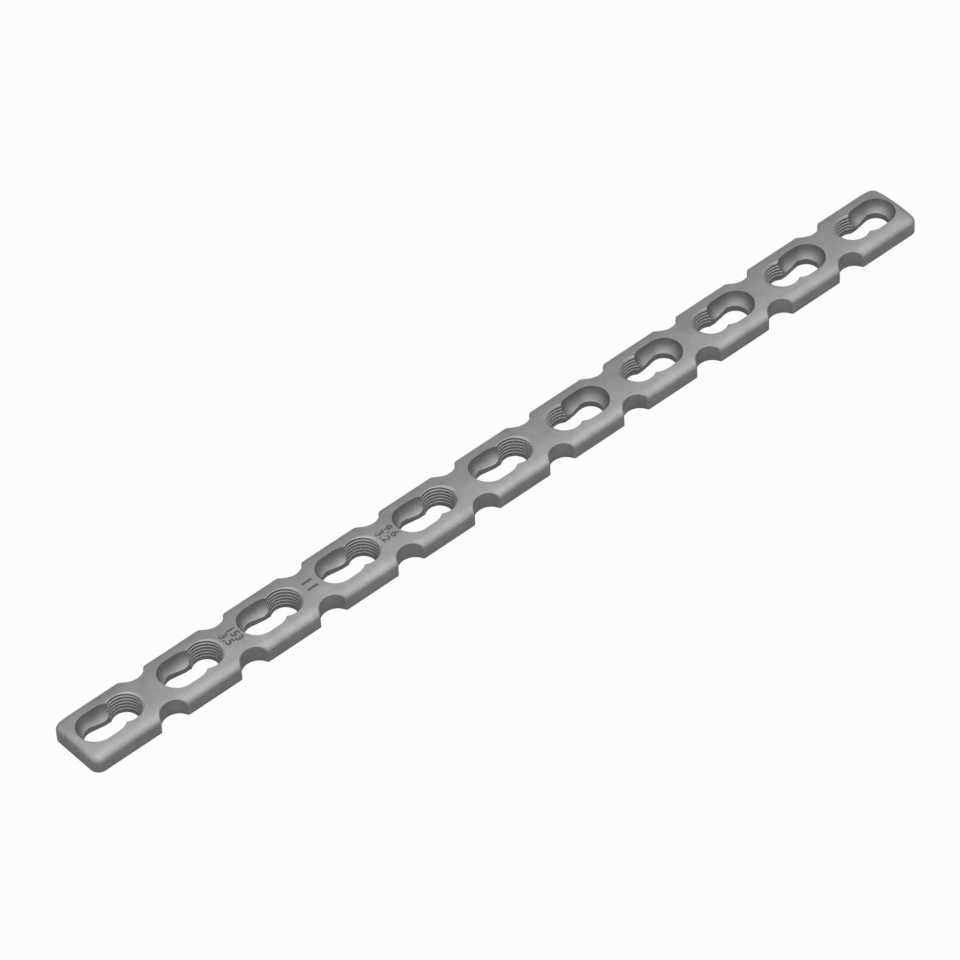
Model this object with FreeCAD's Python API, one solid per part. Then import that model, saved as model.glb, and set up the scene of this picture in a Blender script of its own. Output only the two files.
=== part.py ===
"""Locking reconstruction plate for bone, with combination holes.

One milled solid. X runs along the plate, Y across it and Z up from the underside, which lies at z = 0.
The origin is the middle of the underside. Sizes are millimetres.
"""
import FreeCAD, Part
import os
from math import asin, degrees, hypot, radians, sqrt, tan

# The bar
hole_count = 11
hole_pitch = 14.0
end_margin = 6.5                # from the last hole's centre to the end face
plate_width = 9.6
plate_thickness = 3.2           # at the middle of the crown

# The crowned top
crown_rise = 0.53               # from the plate's edge to its middle, along the gentle crown
shoulder_radius = 3.2           # rounds the crown down towards the sides
side_height = 2.3               # where the shoulder would meet the sides before the rim is rounded
end_run = 3.2                   # the top falls along an arc over this length at each end
end_fall = 0.4                  # and by this height
rim_radius = 1.1                # all round the top of the outline

corner_radius = 1.4             # the four corners in plan
scallop_break = 0.15            # chamfer round each scallop's wall

# The scallops in the long edges, one on each side of every web between two holes
scallop_radius = 2.34
scallop_depth = 1.74

# Threaded half of a combination hole
thread_offset = 2.25            # from the hole's centre to the thread's axis
opening_radius = 1.94           # round opening at the underside, below the thread
ledge_height = 0.3              # where the opening steps out to the thread
thread_root_radius = 2.1        # of the thread's root cone at that step
thread_half_angle = 10.0        # taper of the root cone, in degrees
entry_radius = 2.95             # mouth of the lead-in above the thread
entry_angle = 60.0              # slope of the lead-in away from the axis, in degrees

# Smooth compression half of a combination hole
slot_inner = 0.75               # from the hole's centre to the near end of the ball's path
slot_outer = 2.55               # from the hole's centre to the far end of the ball's path
seat_radius = 2.7               # ball that the head of a plain screw seats on
seat_inner_depth = 2.7          # how far the ball reaches below the crown at the near end of its path
seat_outer_depth = 2.2          # and at the far end, so that the seat ramps upwards
slot_half_width = 1.9           # through slot below the seat
waist_half_width = 1.5          # where the through slot meets the thread

overcut = 1.0                   # how far a cutter runs past the faces that it leaves

plate_half_length = (hole_count - 1) * hole_pitch / 2 + end_margin


def vec(x, y, z):
    return FreeCAD.Vector(x, y, z)


def prism(edges, direction):
    """A closed outline, pushed along a direction."""
    return Part.Face(Part.Wire(edges)).extrude(direction)


def toward(start, aim, distance):
    """Point at a distance from start, on the line to aim."""
    run = aim[0] - start[0]
    rise = aim[1] - start[1]
    scale = distance / hypot(run, rise)
    return start[0] + scale * run, start[1] + scale * rise


def shoulder():
    """Centre of the shoulder arc, and the point where it touches the crown from inside, in the plate's section.

    The arc also passes through the side at side_height, which leaves one place for its centre.
    """
    half = plate_width / 2
    crown_radius = (half ** 2 + crown_rise ** 2) / (2 * crown_rise)
    crown_centre = plate_thickness - crown_radius
    to_crown = crown_radius - shoulder_radius
    rise = side_height - crown_centre
    span = hypot(half, rise)
    along = (to_crown ** 2 - shoulder_radius ** 2 + span ** 2) / (2 * span)
    across = sqrt(to_crown ** 2 - along ** 2)
    centre = ((half * along - rise * across) / span, crown_centre + (rise * along + half * across) / span)
    return centre, toward((0, crown_centre), centre, crown_radius)


def stock_section(x):
    """Face across the stock. Its shoulders run on past the outline."""
    centre, crown_end = shoulder()
    y = plate_width / 2 + overcut
    side_end = (y, centre[1] + sqrt(shoulder_radius ** 2 - (y - centre[0]) ** 2))
    halfway = ((crown_end[0] + y) / 2, (crown_end[1] + side_end[1]) / 2)
    middle = toward(centre, halfway, shoulder_radius)
    near = [vec(x, -point[0], point[1]) for point in (crown_end, middle, side_end)]
    far = [vec(x, point[0], point[1]) for point in (crown_end, middle, side_end)]
    edges = [
        Part.Arc(near[0], vec(x, 0, plate_thickness), far[0]).toShape(),
        Part.Arc(*far).toShape(),
        Part.LineSegment(far[2], vec(x, y, -overcut)).toShape(),
        Part.LineSegment(vec(x, y, -overcut), vec(x, -y, -overcut)).toShape(),
        Part.LineSegment(vec(x, -y, -overcut), near[2]).toShape(),
        Part.Arc(*near).toShape(),
    ]
    return Part.Face(Part.Wire(Part.__sortEdges__(edges)))


def stock():
    """Crowned bar whose section turns downwards about a cross axis near each end."""
    straight = plate_half_length - end_run
    end_radius = (end_run ** 2 + end_fall ** 2) / (2 * end_fall)
    axis_height = plate_thickness - end_radius
    turn = degrees(asin((end_run + overcut) / (end_radius - plate_thickness - overcut)))
    pieces = [stock_section(-straight).extrude(vec(2 * straight, 0, 0))]
    for side in (1, -1):
        section = stock_section(side * straight)
        pieces.append(section.revolve(vec(side * straight, 0, axis_height), vec(0, 1, 0), side * turn))
    return pieces[0].fuse(pieces[1:]).removeSplitter()


def outline():
    """The plate's outline in plan with its rounded corners, as an upright block."""
    block = Part.makeBox(2 * plate_half_length, plate_width, plate_thickness + overcut,
                         vec(-plate_half_length, -plate_width / 2, 0))
    return block.makeFillet(corner_radius, [edge for edge in block.Edges if is_upright(edge)])


def is_upright(edge):
    return edge.BoundBox.ZLength > max(edge.BoundBox.XLength, edge.BoundBox.YLength) + 1


def is_wall(face):
    """True for an upright face."""
    first_u, last_u, first_v, last_v = face.ParameterRange
    return abs(face.normalAt((first_u + last_u) / 2, (first_v + last_v) / 2).z) < 1e-6


def blank():
    """The plate before its scallops and holes."""
    block = stock().common(outline()).Solids[0]
    rim = [edge for face in block.Faces if is_wall(face) for edge in face.Edges if edge.BoundBox.ZMin > 0.01]
    return block.makeFillet(rim_radius, rim)


def scallops():
    """Upright cutters for the scallops, in rows along both long sides."""
    reach = plate_width / 2 + scallop_radius - scallop_depth
    cutters = []
    for index in range(hole_count - 1):
        x = (index - (hole_count - 2) / 2) * hole_pitch
        for side in (1, -1):
            cutters.append(Part.makeCylinder(scallop_radius, plate_thickness + 2 * overcut,
                                             vec(x, side * reach, -overcut)))
    return cutters


def threaded_half():
    """Root cone of the tapered thread, with the lead-in above it and the narrower opening below it."""
    taper = tan(radians(thread_half_angle))
    slope = tan(radians(entry_angle))
    widening = entry_radius - thread_root_radius - (plate_thickness - ledge_height) * taper
    entry_height = plate_thickness - widening / (slope - taper)
    top = plate_thickness + overcut
    profile = [
        (0, -overcut),
        (opening_radius, -overcut),
        (opening_radius, ledge_height),
        (thread_root_radius, ledge_height),
        (thread_root_radius + (entry_height - ledge_height) * taper, entry_height),
        (entry_radius + overcut * slope, top),
        (0, top),
    ]
    points = [vec(thread_offset + r, 0, z) for r, z in profile]
    section = Part.makePolygon(points + points[:1])
    return Part.Face(section).revolve(vec(thread_offset, 0, 0), vec(0, 0, 1), 360)


def seat():
    """Ball cutter swept up its ramp."""
    inner = vec(-slot_inner, 0, plate_thickness - seat_inner_depth + seat_radius)
    outer = vec(-slot_outer, 0, plate_thickness - seat_outer_depth + seat_radius)
    ramp = outer - inner
    swept = Part.makeCylinder(seat_radius, ramp.Length, inner, ramp)
    return swept.fuse([Part.makeSphere(seat_radius, inner), Part.makeSphere(seat_radius, outer)])


def through_slot():
    """Slot under the seat. Its sides close in from the round end to a waist, where the thread begins."""
    reach = slot_outer ** 2 + waist_half_width ** 2
    along = slot_half_width ** 2 / reach
    across = slot_half_width * sqrt(reach - slot_half_width ** 2) / reach
    touch_x = -slot_outer + along * slot_outer - across * waist_half_width
    touch_y = along * waist_half_width + across * slot_outer
    corners = [
        vec(touch_x, touch_y, -overcut),
        vec(0, waist_half_width, -overcut),
        vec(thread_offset, waist_half_width, -overcut),
        vec(thread_offset, -waist_half_width, -overcut),
        vec(0, -waist_half_width, -overcut),
        vec(touch_x, -touch_y, -overcut),
    ]
    edges = [Part.LineSegment(start, end).toShape() for start, end in zip(corners, corners[1:])]
    edges.append(Part.Arc(corners[-1], vec(-slot_outer - slot_half_width, 0, -overcut), corners[0]).toShape())
    return prism(edges, vec(0, 0, plate_thickness + 2 * overcut))


def combination_hole():
    """Cutter for one hole, with the threaded half towards +X."""
    return threaded_half().fuse([seat(), through_slot()])


def holes():
    """The threaded halves all lie towards the plate's middle."""
    cutters = []
    for index in range(hole_count):
        cutter = combination_hole()
        if index >= hole_count / 2:
            cutter.rotate(vec(0, 0, 0), vec(0, 0, 1), 180)
        cutter.translate(vec((index - (hole_count - 1) / 2) * hole_pitch, 0, 0))
        cutters.append(cutter)
    return cutters


def is_scallop(face):
    return isinstance(face.Surface, Part.Cylinder) and abs(face.Surface.Radius - scallop_radius) < 1e-6


def bone_plate():
    """The blank with its scallops and holes, and the sharp edge taken off the scallops' walls."""
    plate = blank().cut(scallops() + holes())
    rims = [edge for face in plate.Faces if is_scallop(face) for edge in face.Edges if edge.BoundBox.ZMax > 0.01]
    return plate.makeChamfer(scallop_break, rims).Solids[0]


os.makedirs("parts", exist_ok=True)
bone_plate().exportStep("parts/bone_plate.step")
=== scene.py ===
"""Locking reconstruction plate for bone: its metal finishes, its seats, its thread turns and its numbers.

The plate lies along X with its crowned top up. Sizes are millimetres, turned to metres by one factor.
"""
import bmesh
import bpy
from math import cos, pi, radians, sin
from mathutils import Matrix, Vector


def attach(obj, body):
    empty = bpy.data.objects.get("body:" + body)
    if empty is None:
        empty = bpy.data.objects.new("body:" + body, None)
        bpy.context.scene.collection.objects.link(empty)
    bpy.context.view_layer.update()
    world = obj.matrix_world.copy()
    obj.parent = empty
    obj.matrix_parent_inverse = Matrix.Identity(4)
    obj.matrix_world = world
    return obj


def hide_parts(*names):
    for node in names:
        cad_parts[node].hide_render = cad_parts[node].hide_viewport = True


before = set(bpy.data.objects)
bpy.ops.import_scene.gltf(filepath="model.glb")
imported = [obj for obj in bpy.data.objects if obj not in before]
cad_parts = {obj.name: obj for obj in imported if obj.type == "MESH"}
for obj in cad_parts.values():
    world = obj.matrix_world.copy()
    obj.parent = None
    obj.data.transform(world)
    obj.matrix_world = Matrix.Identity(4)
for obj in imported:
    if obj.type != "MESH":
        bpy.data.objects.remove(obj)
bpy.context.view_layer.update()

MM = 0.001

# The plate, as the frame has it
HOLE_COUNT = 11
HOLE_PITCH = 14.0
THICKNESS = 3.2
THREAD_OFFSET = 2.25
ROOT_RADIUS = 2.1               # root cone of the thread where it starts
ROOT_START = 0.3                # height at which it starts
ROOT_HALF_ANGLE = 10.0
WAIST_HALF_WIDTH = 1.5
CROWN_RADIUS = 22.0

# The ball's path in the smooth half of a hole, which is cut deeper than in the solid
SEAT_RADIUS = 2.8
SEAT_INNER = 0.75               # from the hole's centre to the path's near end
SEAT_OUTER = 2.6
SEAT_HEIGHT = 3.1               # of the ball's centre
BALL_SEGMENTS = 64
BALL_RINGS = 32
KEPT_NORMAL = "kept_normal"     # attribute that holds the shading normals while the seats are cut
MERGE_DISTANCE = 0.0001

# The thread turns
THREAD_PITCH = 0.5
TURNS = 5.0                     # a whole number, so that both ends of the ridge lie in the neck
FIRST_TURN = 0.3                # height of the ridge where it starts
CREST_HEIGHT = 0.06             # from root to crest
CREST_WIDTH = 0.14
RIDGE_WIDTH = 0.48              # at the root
SUNK = 0.02                     # how far a ridge's foot lies inside the wall
STEPS_PER_TURN = 48
NECK_HEIGHT = 20.0              # of the block that clears the neck, well past the plate on both sides

# Plain numbers on the webs past the second, third and fourth hole: sizes in millimetres, and the count of holes
MARKS = {2: ("153", "3.5"), 3: ("11",), 4: ("9.6", "3.2")}
MARK_HEIGHT = 1.25              # of a line of figures
LONE_MARK_HEIGHT = 1.7          # of a line that stands alone
LINE_STEP = 1.5
WEB_MIDDLE = 6.9                # from the centre of the hole before a web to the middle of the web's bare land
MARK_LIFT = 0.012               # keeps the flat figures clear of the crown
FIGURE_SHARE = 0.7              # height of a figure for a font size of 1
FIGURE_SPACING = 1.1
FIGURE_WEIGHT = 0.025           # grows the strokes, as a share of the font size. Some other shares break a figure.

# The metals
GRAIN = 0.25                    # beads of about 0.1 mm leave dimples of that size, drawn larger here to show
GRAIN_DEPTH = 0.02
GRAIN_STRENGTH = 0.25
CLOUDS = 3.0                    # faint clouds that handling and blasting leave
TONE_SPAN = (0.35, 0.65)        # values of the noise between which the tone changes
ROUGHNESS = (0.44, 0.52)        # where the grain is lowest, and where it is highest
MARK_ROUGHNESS = 0.55

# The camera, fitted to the photograph
CAMERA_AZIMUTH = -39.35
CAMERA_ELEVATION = 45.43
CAMERA_ROLL = -3.13
CAMERA_DISTANCE = 800.13
LENS = 215.36
SENSOR = 36.0
IMAGE = 960                     # pixels across
NEAREST = 0.01                  # that the camera sees, in metres
AIM = (22.69, 6.20)             # where the plate's origin lies, in pixels right of and above the middle

# The studio, in metres
SOFTBOX_PLACE = (0, -0.22, 0.78)
SOFTBOX_SIZE = (1.1, 0.9)
SOFTBOX_WATTS = 2.4
FLOOR_SIZE = 8
FLOOR_GAP = 0.00002             # below the plate's underside, so that no two faces share a plane
AWAY = (0.634, 0.773, 0)        # level direction in which the camera looks
SKY_TURN = (0.3, 0.85)          # cosines to that direction between which the tent dims
NEAR_SKY = 1.4                  # strength of the white tent around the plate, and of its far side
FAR_SKY = 0.75
FLOOR_SEEN = 0.96               # share of plain white on the floor as the camera sees it, and in mirrored rays
FLOOR_MIRRORED = 0.1


def linear(hex_colour):
    """sRGB hex value as a linear RGBA colour."""
    def channel(value):
        value /= 255
        return value / 12.92 if value <= 0.04045 else ((value + 0.055) / 1.055) ** 2.4
    return tuple(channel(int(hex_colour[i:i + 2], 16)) for i in (1, 3, 5)) + (1.0,)


def add(tree, kind, links=None, **settings):
    """Adds a node. Settings are its properties or the values of its sockets. Links go from sockets to inputs."""
    node = tree.nodes.new(kind)
    for name, value in settings.items():
        if hasattr(node, name):
            setattr(node, name, value)
        else:
            node.inputs[name.replace("_", " ")].default_value = value
    for target, source in (links or {}).items():
        tree.links.new(source, node.inputs[target])
    return node


def camera_axes():
    """The camera's directions to the right, up and back, with its roll."""
    azimuth, elevation, roll = radians(CAMERA_AZIMUTH), radians(CAMERA_ELEVATION), radians(CAMERA_ROLL)
    back = Vector((sin(azimuth) * cos(elevation), -cos(azimuth) * cos(elevation), sin(elevation)))
    level = Vector((cos(azimuth), sin(azimuth), 0))
    upright = back.cross(level)
    right = cos(roll) * level + sin(roll) * upright
    up = cos(roll) * upright - sin(roll) * level
    return right, up, back


def make_camera():
    """Camera at the photograph's angle, moved sideways to put the plate where it lies in the photograph."""
    right, up, back = camera_axes()
    per_pixel = CAMERA_DISTANCE * SENSOR / IMAGE / LENS
    place = CAMERA_DISTANCE * back - AIM[0] * per_pixel * right - AIM[1] * per_pixel * up
    data = bpy.data.cameras.new("camera")
    data.lens = LENS
    data.sensor_width = SENSOR
    data.clip_start = NEAREST
    camera = bpy.data.objects.new("camera", data)
    camera.matrix_world = Matrix.Translation(place * MM) @ Matrix((right, up, back)).transposed().to_4x4()
    bpy.context.scene.collection.objects.link(camera)
    bpy.context.scene.camera = camera


def make_softbox():
    """Broad lamp above the plate, turned towards its middle."""
    data = bpy.data.lights.new("overhead softbox", "AREA")
    data.shape = "RECTANGLE"
    data.size, data.size_y = SOFTBOX_SIZE
    data.energy = SOFTBOX_WATTS
    lamp = bpy.data.objects.new("overhead softbox", data)
    lamp.location = SOFTBOX_PLACE
    lamp.rotation_euler = Vector(SOFTBOX_PLACE).to_track_quat("Z", "Y").to_euler()
    bpy.context.scene.collection.objects.link(lamp)


def backdrop_share(tree):
    """Share of plain white on the floor for rays straight from the camera, and for mirrored and refracted ones."""
    path = add(tree, "ShaderNodeLightPath")
    either = add(tree, "ShaderNodeMath", {0: path.outputs["Is Glossy Ray"], 1: path.outputs["Is Transmission Ray"]},
                 operation="MAXIMUM")
    dim = add(tree, "ShaderNodeMath", {0: either.outputs[0]}, operation="MULTIPLY")
    dim.inputs[1].default_value = FLOOR_MIRRORED
    straight = add(tree, "ShaderNodeMath", {0: path.outputs["Is Camera Ray"]}, operation="MULTIPLY")
    straight.inputs[1].default_value = FLOOR_SEEN
    return add(tree, "ShaderNodeMath", {0: dim.outputs[0], 1: straight.outputs[0]}, operation="MAXIMUM").outputs[0]


def make_tent():
    """White tent all round, which is plain white as the camera sees it."""
    world = bpy.data.worlds.new("white tent")
    bpy.context.scene.world = world
    world.use_nodes = True
    tree = world.node_tree
    tree.nodes.clear()
    # Its far side, behind the plate as the camera sees it, is the dimmer one.
    direction = add(tree, "ShaderNodeTexCoord").outputs["Generated"]
    away = add(tree, "ShaderNodeVectorMath", {0: direction}, operation="DOT_PRODUCT")
    away.inputs[1].default_value = AWAY
    level = add(tree, "ShaderNodeMapRange", {"Value": away.outputs["Value"]}, interpolation_type="SMOOTHSTEP",
                From_Min=SKY_TURN[0], From_Max=SKY_TURN[1], To_Min=NEAR_SKY, To_Max=FAR_SKY)
    dim = add(tree, "ShaderNodeBackground", {"Strength": level.outputs["Result"]}, Color=(1, 1, 1, 1))
    white = add(tree, "ShaderNodeBackground", Color=(1, 1, 1, 1), Strength=1.0)
    path = add(tree, "ShaderNodeLightPath")
    mix = add(tree, "ShaderNodeMixShader", {0: path.outputs["Is Camera Ray"], 1: dim.outputs[0], 2: white.outputs[0]})
    add(tree, "ShaderNodeOutputWorld", {"Surface": mix.outputs[0]})


def make_floor():
    """Plain pale floor, which keeps a little of the plate's shadow."""
    bpy.ops.mesh.primitive_plane_add(size=FLOOR_SIZE, location=(0, 0, -FLOOR_GAP))
    floor = bpy.context.object
    floor.name = "floor"
    material = bpy.data.materials.new("pale matt floor")
    material.use_nodes = True
    tree = material.node_tree
    tree.nodes.clear()
    matt = add(tree, "ShaderNodeBsdfDiffuse", Color=linear("#989898"))
    lift = add(tree, "ShaderNodeEmission", Color=(1, 1, 1, 1), Strength=1.0)
    mix = add(tree, "ShaderNodeMixShader", {0: backdrop_share(tree), 1: matt.outputs[0], 2: lift.outputs[0]})
    add(tree, "ShaderNodeOutputMaterial", {"Surface": mix.outputs[0]})
    floor.data.materials.append(material)


def titanium(name, dark, light):
    """Titanium alloy whose tone wanders between two greys, with an even fine grain."""
    material = bpy.data.materials.new(name)
    material.use_nodes = True
    tree = material.node_tree
    shader = tree.nodes["Principled BSDF"]
    place = add(tree, "ShaderNodeTexCoord").outputs["Object"]
    grain = add(tree, "ShaderNodeTexNoise", {"Vector": place}, Scale=1 / (GRAIN * MM), Detail=3.0, Roughness=0.6)
    cloud = add(tree, "ShaderNodeTexNoise", {"Vector": place}, Scale=1 / (CLOUDS * MM), Detail=2.0, Roughness=0.5)
    blend = add(tree, "ShaderNodeMix", {2: grain.outputs["Fac"], 3: cloud.outputs["Fac"]},
                data_type="FLOAT", Factor=0.5)
    tone = add(tree, "ShaderNodeValToRGB", {"Fac": blend.outputs[0]})
    for stop, position, colour in zip(tone.color_ramp.elements, TONE_SPAN, (dark, light)):
        stop.position = position
        stop.color = linear(colour)
    dull = add(tree, "ShaderNodeMapRange", {"Value": grain.outputs["Fac"]},
               To_Min=ROUGHNESS[0], To_Max=ROUGHNESS[1])
    bump = add(tree, "ShaderNodeBump", {"Height": grain.outputs["Fac"]}, Strength=GRAIN_STRENGTH,
               Distance=GRAIN_DEPTH * MM)
    tree.links.new(tone.outputs["Color"], shader.inputs["Base Color"])
    tree.links.new(dull.outputs["Result"], shader.inputs["Roughness"])
    tree.links.new(bump.outputs["Normal"], shader.inputs["Normal"])
    shader.inputs["Metallic"].default_value = 1.0
    return material


def new_tree(name, sizes, meshes=()):
    """Geometry tree with named inputs for meshes, for sizes in millimetres, for the row of holes and the finish."""
    tree = bpy.data.node_groups.new(name, "GeometryNodeTree")
    for mesh in meshes:
        tree.interface.new_socket(mesh, in_out="INPUT", socket_type="NodeSocketGeometry")
    for size in sizes + ("First Hole", "Hole Pitch"):
        tree.interface.new_socket(size, in_out="INPUT", socket_type="NodeSocketFloat")
    tree.interface.new_socket("Hole Count", in_out="INPUT", socket_type="NodeSocketInt")
    tree.interface.new_socket("Finish", in_out="INPUT", socket_type="NodeSocketMaterial")
    tree.interface.new_socket("Geometry", in_out="OUTPUT", socket_type="NodeSocketGeometry")
    return tree, add(tree, "NodeGroupInput").outputs


def in_every_hole(tree, given, one):
    """Sets one hole's mesh in every hole, turned round past the middle one, and turns millimetres to metres."""
    first = add(tree, "ShaderNodeCombineXYZ", {"X": given["First Hole"]})
    step = add(tree, "ShaderNodeCombineXYZ", {"X": given["Hole Pitch"]})
    row = add(tree, "GeometryNodeMeshLine", {"Count": given["Hole Count"], "Start Location": first.outputs[0],
                                             "Offset": step.outputs[0]}, mode="OFFSET")
    index = add(tree, "GeometryNodeInputIndex")
    middle = add(tree, "ShaderNodeMath", {0: given["Hole Count"]}, operation="MULTIPLY")
    middle.inputs[1].default_value = 0.5
    beyond = add(tree, "ShaderNodeMath", {0: index.outputs[0], 1: middle.outputs[0]}, operation="GREATER_THAN")
    half_turn = add(tree, "ShaderNodeMath", {0: beyond.outputs[0]}, operation="MULTIPLY")
    half_turn.inputs[1].default_value = pi
    angles = add(tree, "ShaderNodeCombineXYZ", {"Z": half_turn.outputs[0]})
    rotation = add(tree, "FunctionNodeEulerToRotation", {"Euler": angles.outputs[0]})
    sets = add(tree, "GeometryNodeInstanceOnPoints", {"Points": row.outputs[0], "Instance": one,
                                                      "Rotation": rotation.outputs[0]})
    metres = add(tree, "GeometryNodeTransform", {"Geometry": sets.outputs[0]}, Scale=(MM, MM, MM))
    return add(tree, "GeometryNodeRealizeInstances", {"Geometry": metres.outputs[0]}).outputs[0]


def finish(tree, given, geometry):
    """Ends a tree with its material."""
    finished = add(tree, "GeometryNodeSetMaterial", {"Geometry": geometry, "Material": given["Finish"]})
    add(tree, "NodeGroupOutput", {"Geometry": finished.outputs[0]})


def ball(tree, given, place):
    """The seat's ball with its centre a given way from the hole's centre, away from the thread."""
    sphere = add(tree, "GeometryNodeMeshUVSphere", {"Radius": given["Seat Radius"]},
                 Segments=BALL_SEGMENTS, Rings=BALL_RINGS)
    back = add(tree, "ShaderNodeMath", {0: given[place]}, operation="MULTIPLY")
    back.inputs[1].default_value = -1
    centre = add(tree, "ShaderNodeCombineXYZ", {"X": back.outputs[0], "Z": given["Seat Height"]})
    placed = add(tree, "GeometryNodeTransform", {"Geometry": sphere.outputs[0], "Translation": centre.outputs[0]})
    return placed.outputs[0]


def seat_tree():
    """Cuts the ball's path out of every hole of the plate that it is given."""
    tree, given = new_tree("seat cuts", ("Seat Radius", "Seat Inner", "Seat Outer", "Seat Height"), ("Plate",))
    both = add(tree, "GeometryNodeJoinGeometry", {"Geometry": ball(tree, given, "Seat Inner")})
    tree.links.new(ball(tree, given, "Seat Outer"), both.inputs["Geometry"])
    path = add(tree, "GeometryNodeConvexHull", {"Geometry": both.outputs[0]})
    cutters = in_every_hole(tree, given, path.outputs[0])

    # The cut surface keeps the cutter's smooth normals, turned round.
    outward = add(tree, "GeometryNodeInputNormal")
    smooth = add(tree, "GeometryNodeFieldOnDomain", {0: outward.outputs[0]},
                 data_type="FLOAT_VECTOR", domain="POINT")
    inward = add(tree, "ShaderNodeVectorMath", {0: smooth.outputs[0]}, operation="SCALE", Scale=-1.0)
    marked = add(tree, "GeometryNodeStoreNamedAttribute", {"Geometry": cutters, "Value": inward.outputs[0]},
                 data_type="FLOAT_VECTOR", domain="CORNER", Name=KEPT_NORMAL)

    cut = add(tree, "GeometryNodeMeshBoolean", {"Mesh 1": given["Plate"], "Mesh 2": marked.outputs[0]},
              operation="DIFFERENCE", solver="EXACT")
    finish(tree, given, cut.outputs[0])
    return tree


def thread_tree():
    """Ridge on a root cone, trimmed by the seat's ball and the neck, and set in every hole."""
    tree, given = new_tree("thread turns", ("Pitch", "Turns", "Foot Radius", "First Turn", "Taper", "Crest Height",
                                            "Crest Width", "Ridge Width", "Sunk", "Seat Radius", "Seat Inner",
                                            "Seat Height", "Thread Offset", "Neck Width"))

    # The ridge's path climbs the root cone.
    climb = add(tree, "ShaderNodeMath", {0: given["Pitch"], 1: given["Turns"]}, operation="MULTIPLY")
    top_radius = add(tree, "ShaderNodeMath", {0: climb.outputs[0], 1: given["Taper"], 2: given["Foot Radius"]},
                     operation="MULTIPLY_ADD")
    path = add(tree, "GeometryNodeCurveSpiral", {"Rotations": given["Turns"], "Start Radius": given["Foot Radius"],
                                                 "End Radius": top_radius.outputs[0], "Height": climb.outputs[0]},
               Resolution=STEPS_PER_TURN)
    level = add(tree, "GeometryNodeSetCurveNormal", {"Curve": path.outputs[0]}, mode="Z_UP")

    # Its section points at the axis.
    depth = add(tree, "ShaderNodeMath", {0: given["Crest Height"], 1: given["Sunk"]}, operation="ADD")
    section = add(tree, "GeometryNodeCurvePrimitiveQuadrilateral",
                  {"Bottom Width": given["Ridge Width"], "Top Width": given["Crest Width"],
                   "Height": depth.outputs[0]}, mode="TRAPEZOID", Offset=0.0)
    rise = add(tree, "ShaderNodeMath", {0: given["Crest Height"], 1: given["Sunk"]}, operation="SUBTRACT")
    half_rise = add(tree, "ShaderNodeMath", {0: rise.outputs[0]}, operation="MULTIPLY")
    half_rise.inputs[1].default_value = 0.5
    shift = add(tree, "ShaderNodeCombineXYZ", {"X": half_rise.outputs[0]})
    turned = add(tree, "GeometryNodeTransform", {"Geometry": section.outputs[0], "Translation": shift.outputs[0]},
                 Rotation=(0, 0, -pi / 2))
    ridge = add(tree, "GeometryNodeCurveToMesh", {"Curve": level.outputs[0], "Profile Curve": turned.outputs[0]},
                Fill_Caps=True)
    place = add(tree, "ShaderNodeCombineXYZ", {"X": given["Thread Offset"], "Z": given["First Turn"]})
    placed = add(tree, "GeometryNodeTransform", {"Geometry": ridge.outputs[0], "Translation": place.outputs[0]},
                 Rotation=(0, 0, pi))

    # The seat's ball and the neck cut it off.
    neck_length = add(tree, "ShaderNodeMath", {0: given["Thread Offset"]}, operation="MULTIPLY")
    neck_length.inputs[1].default_value = 2
    neck_size = add(tree, "ShaderNodeCombineXYZ", {"X": neck_length.outputs[0], "Y": given["Neck Width"]},
                    Z=NECK_HEIGHT)
    neck = add(tree, "GeometryNodeMeshCube", {"Size": neck_size.outputs[0]})
    trimmed = add(tree, "GeometryNodeMeshBoolean", {"Mesh 1": placed.outputs[0],
                                                    "Mesh 2": ball(tree, given, "Seat Inner")},
                  operation="DIFFERENCE", solver="EXACT")
    tree.links.new(neck.outputs[0], trimmed.inputs["Mesh 2"])
    finish(tree, given, in_every_hole(tree, given, trimmed.outputs[0]))
    return tree


def grown(name, tree, values, mesh=None):
    """Plain mesh object from a geometry tree, its named inputs and the mesh that it works on, if any."""
    carrier = bpy.data.objects.new(name, mesh or bpy.data.meshes.new(name))
    bpy.context.scene.collection.objects.link(carrier)
    modifier = carrier.modifiers.new(name, "NODES")
    modifier.node_group = tree
    row = {"First Hole": -(HOLE_COUNT - 1) / 2 * HOLE_PITCH, "Hole Pitch": HOLE_PITCH, "Hole Count": HOLE_COUNT}
    values = {**row, **values}
    for socket in tree.interface.items_tree:
        if socket.in_out == "INPUT" and socket.name in values:
            modifier[socket.identifier] = values[socket.name]
    evaluated = carrier.evaluated_get(bpy.context.evaluated_depsgraph_get())
    result = bpy.data.meshes.new_from_object(evaluated)
    carrier.modifiers.clear()
    carrier.data = result
    # The finish is the last slot. The slots before it are left over from the mesh that went in.
    while len(result.materials) > 1:
        result.materials.pop(index=0)
    return carrier


def plate_with_seats(plate, metal):
    """Copy of the plate with the seats cut to their full depth. Its corners carry their normals through the cut."""
    mesh = plate.data.copy()
    kept = mesh.attributes.new(KEPT_NORMAL, "FLOAT_VECTOR", "CORNER")
    for corner, normal in zip(kept.data, mesh.corner_normals):
        corner.vector = normal.vector
    loose = bmesh.new()
    loose.from_mesh(mesh)
    bmesh.ops.remove_doubles(loose, verts=loose.verts, dist=MERGE_DISTANCE * MM)
    loose.to_mesh(mesh)
    loose.free()
    body = grown("plate_with_seats", seat_tree(), {
        "Seat Radius": SEAT_RADIUS,
        "Seat Inner": SEAT_INNER,
        "Seat Outer": SEAT_OUTER,
        "Seat Height": SEAT_HEIGHT,
        "Finish": metal,
    }, mesh)
    kept = body.data.attributes[KEPT_NORMAL]
    normals = [corner.vector.normalized() for corner in kept.data]
    body.data.attributes.remove(kept)
    body.data.shade_smooth()
    body.data.normals_split_custom_set(normals)
    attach(body, "root")
    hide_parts("bone_plate")


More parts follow.
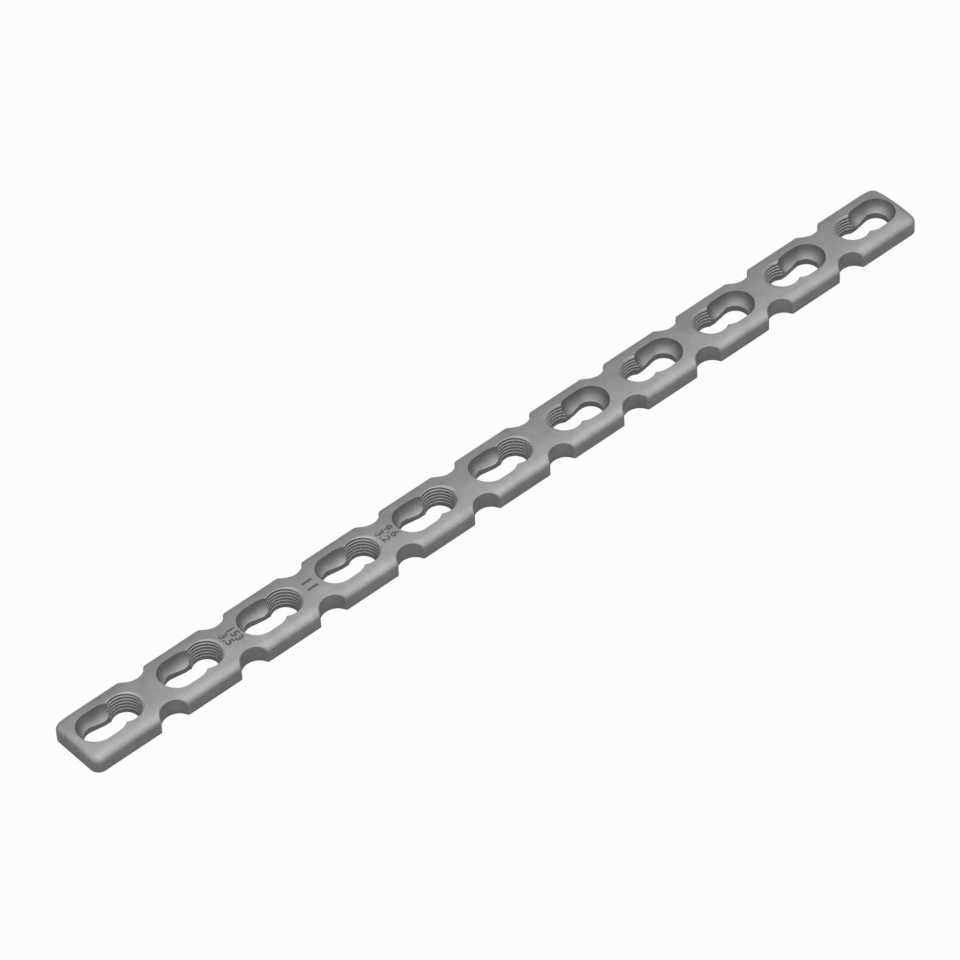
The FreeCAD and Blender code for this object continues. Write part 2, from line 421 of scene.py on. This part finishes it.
def thread_turns(metal):
    """The turns of the locking thread, which the plain root cones of the solid stand in for."""
    taper = sin(radians(ROOT_HALF_ANGLE)) / cos(radians(ROOT_HALF_ANGLE))
    turns = grown("thread_turns", thread_tree(), {
        "Pitch": THREAD_PITCH,
        "Turns": TURNS,
        "Foot Radius": ROOT_RADIUS + (FIRST_TURN - ROOT_START) * taper,
        "First Turn": FIRST_TURN,
        "Taper": taper,
        "Crest Height": CREST_HEIGHT,
        "Crest Width": CREST_WIDTH,
        "Ridge Width": RIDGE_WIDTH,
        "Sunk": SUNK,
        "Seat Radius": SEAT_RADIUS,
        "Seat Inner": SEAT_INNER,
        "Seat Height": SEAT_HEIGHT,
        "Thread Offset": THREAD_OFFSET,
        "Neck Width": 2 * WAIST_HALF_WIDTH,
        "Finish": metal,
    })
    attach(turns, "root")


def laser_mark():
    """Titanium alloy darkened by a marking laser: a thin grey oxide, as dull as the blasted metal round it."""
    material = bpy.data.materials.new("laser-darkened titanium")
    material.use_nodes = True
    shader = material.node_tree.nodes["Principled BSDF"]
    shader.inputs["Base Color"].default_value = linear("#5c5c5e")
    shader.inputs["Metallic"].default_value = 1.0
    shader.inputs["Roughness"].default_value = MARK_ROUGHNESS
    return material


def figures(text, height):
    """Flat mesh of a line of figures, centred on its origin."""
    data = bpy.data.curves.new(text, "FONT")
    data.body = text
    data.size = height / FIGURE_SHARE
    data.align_x = "CENTER"
    data.align_y = "CENTER"
    data.space_character = FIGURE_SPACING
    data.offset = FIGURE_WEIGHT * data.size
    carrier = bpy.data.objects.new(text, data)
    bpy.context.scene.collection.objects.link(carrier)
    mesh = bpy.data.meshes.new_from_object(carrier.evaluated_get(bpy.context.evaluated_depsgraph_get()))
    bpy.data.objects.remove(carrier)
    heights = [vertex.co.y for vertex in mesh.vertices]
    for vertex in mesh.vertices:
        vertex.co.y -= (min(heights) + max(heights)) / 2
    return mesh


def size_marks():
    """Figures that read across the plate, laid on its crown."""
    marks = bmesh.new()
    for web, lines in MARKS.items():
        middle = (web - (HOLE_COUNT + 1) / 2) * HOLE_PITCH + WEB_MIDDLE
        for row, text in enumerate(lines):
            line = figures(text, MARK_HEIGHT if len(lines) > 1 else LONE_MARK_HEIGHT)
            lift = ((len(lines) - 1) / 2 - row) * LINE_STEP
            for vertex in line.vertices:
                across, up = vertex.co.x, vertex.co.y
                crown = THICKNESS - CROWN_RADIUS + (CROWN_RADIUS ** 2 - across ** 2) ** 0.5
                vertex.co = Vector((middle + lift + up, -across, crown + MARK_LIFT)) * MM
            marks.from_mesh(line)
    mesh = bpy.data.meshes.new("size_marks")
    marks.to_mesh(mesh)
    marks.free()
    mesh.materials.append(laser_mark())
    piece = bpy.data.objects.new("size_marks", mesh)
    bpy.context.scene.collection.objects.link(piece)
    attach(piece, "root")


bpy.context.scene.view_settings.view_transform = "Standard"
make_camera()
make_tent()
make_softbox()
make_floor()
# The plate is milled and then blasted with fine glass beads, which leaves it dull grey.
metal = titanium("bead-blasted titanium", "#868685", "#969695")
# The thread's turns get a lighter copy of the titanium: painted light that offsets the shade inside the holes.
thread_metal_painted_lighter = titanium("thread titanium painted lighter", "#949493", "#a2a2a1")
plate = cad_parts["bone_plate"]
plate.material_slots[0].material = metal
plate_with_seats(plate, metal)
thread_turns(thread_metal_painted_lighter)
size_marks()
